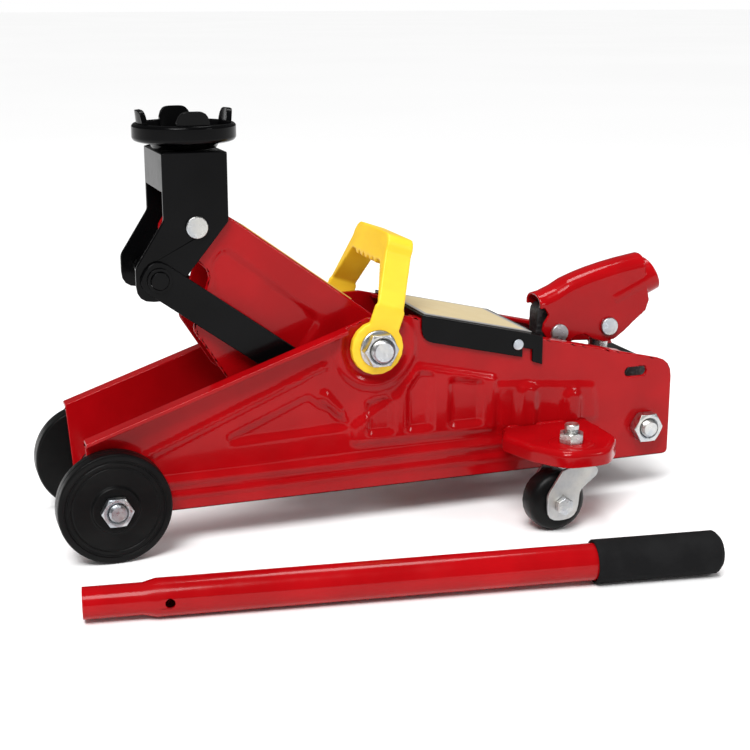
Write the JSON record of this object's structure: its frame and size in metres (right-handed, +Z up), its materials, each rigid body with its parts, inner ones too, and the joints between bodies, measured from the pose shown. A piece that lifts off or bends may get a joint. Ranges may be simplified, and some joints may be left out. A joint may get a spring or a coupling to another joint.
{
  "type": "hydraulic floor jack",
  "caption": "Red trolley jack with a raised lift arm and round saddle, pressed side plates, front wheels, rear casters, a pump socket, a carry handle and a loose pump handle.",
  "frame": {"origin": "middle of the footprint of the jack and its loose handle, on the floor", "axes": "+X from the saddle end to the handle end, +Z up, -Y the side the loose handle lies on"},
  "size_m": [0.4722, 0.3458, 0.2916],
  "materials": {
    "red_paint": "glossy enamel",
    "black_paint": "glossy black enamel",
    "cast_black": "rough black casting",
    "zinc": "zinc plated",
    "steel": "ground steel",
    "wheel_black": "black moulded wheel",
    "grip_foam": "matt foam grip",
    "yellow_plastic": "moulded yellow plastic",
    "label_cream": "plain printed film",
    "plug_rubber": "rubber"
  },
  "bodies": {
    "frame": {"side_plate_left": "red_paint", "side_plate_right": "red_paint", "front_axle": "zinc", "main_shaft": "zinc", "tie_rod": "zinc", "main_nut_left": "zinc", "main_nut_right": "zinc", "tie_nut_left": "zinc", "tie_nut_right": "zinc", "front_wheel_nut_left": "zinc", "front_wheel_nut_right": "zinc", "link_anchor_left": "steel", "link_anchor_right": "steel", "caster_ear_left": "red_paint", "caster_ear_right": "red_paint", "caster_stud_left": "zinc", "caster_stud_right": "zinc", "caster_nut_left": "zinc", "caster_nut_right": "zinc", "reservoir": "black_paint", "ram_cylinder": "steel", "cylinder_cap": "cast_black", "filler_plug": "plug_rubber", "pump_block": "cast_black", "cover_plate": "black_paint", "cover_label": "label_cream", "cover_rivet_left": "zinc", "cover_rivet_right": "zinc"},
    "arm": {"lift_arm": "red_paint", "arm_label": "label_cream", "ram_pin": "steel"},
    "bracket": {"saddle_bracket": "black_paint", "saddle_pin": "zinc", "link_pin": "black_paint", "snap_ring_left": "steel", "snap_ring_right": "steel"},
    "saddle_plate": {"saddle": "black_paint", "saddle_retainer": "steel"},
    "links": {"link_left": "black_paint", "link_right": "black_paint"},
    "ram_rod": {"ram": "zinc", "ram_head": "steel"},
    "socket": {"handle_socket": "red_paint", "socket_pivot_pin": "zinc", "push_pin": "zinc"},
    "plunger": {"pump_plunger": "zinc"},
    "valve": {"release_valve": "steel"},
    "wheel_left": {"front_wheel_left": "wheel_black"},
    "wheel_right": {"front_wheel_right": "wheel_black"},
    "caster_left": {"caster_fork_left": "zinc", "caster_axle_left": "zinc"},
    "caster_right": {"caster_fork_right": "zinc", "caster_axle_right": "zinc"},
    "caster_tyre_left": {"caster_wheel_left": "wheel_black"},
    "caster_tyre_right": {"caster_wheel_right": "wheel_black"},
    "carry": {"carry_handle": "yellow_plastic"},
    "pump_handle": {"handle_tube": "red_paint", "handle_grip": "grip_foam"}
  },
  "joints": [
    {"name": "arm_lift", "type": "hinge", "parent": "frame", "child": "arm", "pos_m": [-0.01107, 0.05139, 0.129], "axis": [0, 1, 0], "range_deg": [-60, 0]},
    {"name": "bracket_level", "type": "hinge", "parent": "arm", "child": "bracket", "pos_m": [-0.13057, 0.05139, 0.21614], "axis": [0, 1, 0], "range_deg": [0, 60]},
    {"name": "link_swing", "type": "hinge", "parent": "frame", "child": "links", "pos_m": [-0.03777, 0.05139, 0.0954], "axis": [0, 1, 0], "range_deg": [-60, 0]},
    {"name": "ram_slide", "type": "slide", "parent": "frame", "child": "ram_rod", "axis": [1, 0, 0], "range_m": [0, 0.0481]},
    {"name": "saddle_turn", "type": "hinge", "parent": "bracket", "child": "saddle_plate", "pos_m": [-0.13057, 0.05139, 0.27264], "axis": [0, 0, 1], "continuous": true},
    {"name": "pump_stroke", "type": "hinge", "parent": "frame", "child": "socket", "pos_m": [0.14763, 0.05139, 0.119], "axis": [0, -1, 0], "range_deg": [-8, 25]},
    {"name": "plunger_slide", "type": "slide", "parent": "frame", "child": "plunger", "axis": [0, 0, 1], "range_m": [-0.006, 0.018]},
    {"name": "valve_turn", "type": "hinge", "parent": "frame", "child": "valve", "pos_m": [0.21363, 0.05139, 0.08221], "axis": [1, 0, 0], "range_deg": [0, 180]},
    {"name": "carry_swing", "type": "hinge", "parent": "frame", "child": "carry", "pos_m": [-0.01107, 0.05139, 0.129], "axis": [0, 1, 0], "range_deg": [-40, 24]},
    {"name": "handle_lift_off", "type": "slide", "parent": "frame", "child": "pump_handle", "axis": [0, 0, 1], "range_m": [0, 0.35]},
    {"name": "front_wheel_left_roll", "type": "hinge", "parent": "frame", "child": "wheel_left", "pos_m": [-0.19807, -0.00696, 0.038], "axis": [0, 1, 0], "continuous": true},
    {"name": "caster_left_swivel", "type": "hinge", "parent": "frame", "child": "caster_left", "pos_m": [0.11663, -0.04761, 0.06295], "axis": [0, 0, 1], "continuous": true},
    {"name": "caster_left_roll", "type": "hinge", "parent": "caster_left", "child": "caster_tyre_left", "pos_m": [0.10363, -0.04784, 0.0215], "axis": [0.0175, -0.9998, 0], "continuous": true},
    {"name": "front_wheel_right_roll", "type": "hinge", "parent": "frame", "child": "wheel_right", "pos_m": [-0.19807, 0.10974, 0.038], "axis": [0, 1, 0], "continuous": true},
    {"name": "caster_right_swivel", "type": "hinge", "parent": "frame", "child": "caster_right", "pos_m": [0.11663, 0.15039, 0.06295], "axis": [0, 0, 1], "continuous": true},
    {"name": "caster_right_roll", "type": "hinge", "parent": "caster_right", "child": "caster_tyre_right", "pos_m": [0.10363, 0.15062, 0.0215], "axis": [-0.0175, -0.9998, 0], "continuous": true}
  ],
  "couplings": [
    {"joint": "bracket_level", "follows": "arm_lift", "ratio": -1},
    {"joint": "link_swing", "follows": "arm_lift", "ratio": 1},
    {"joint": "ram_slide", "follows": "arm_lift", "m_per_rad": -0.045837},
    {"joint": "plunger_slide", "follows": "pump_stroke", "m_per_rad": 0.04}
  ]
}
